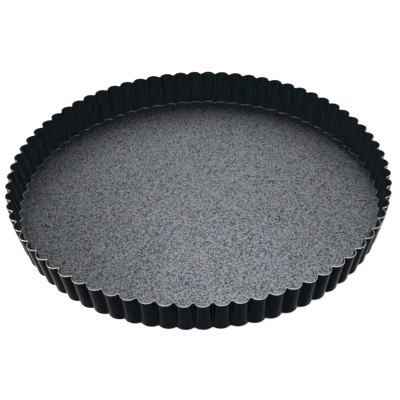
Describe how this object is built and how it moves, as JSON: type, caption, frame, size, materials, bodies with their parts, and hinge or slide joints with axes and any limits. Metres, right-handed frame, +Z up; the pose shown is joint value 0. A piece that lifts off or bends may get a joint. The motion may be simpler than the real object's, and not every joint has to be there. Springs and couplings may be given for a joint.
{
  "type": "tart pan",
  "caption": "Round fluted tart pan with an outward-leaning wall and a loose flat base that rests on an inward ledge.",
  "frame": {"origin": "centre of the bottom of the bounding box, on the plane that the ledge's underside stands on", "axes": "+Z up along the pan's axis, +X through the crest of a flute"},
  "size_m": [0.3, 0.3, 0.029],
  "materials": {
    "ring_coating": "satin black non-stick coating on pressed carbon steel, bare steel along the cut top edge",
    "base_coating": "speckled dark grey non-stick coating on flat carbon steel"
  },
  "bodies": {
    "ring": {"fluted_ring": "ring_coating"},
    "base": {"loose_base": "base_coating"}
  },
  "joints": [
    {"name": "base_lift", "type": "slide", "parent": "ring", "child": "base", "axis": [0, 0, 1], "range_m": [0, 0.06]}
  ]
}
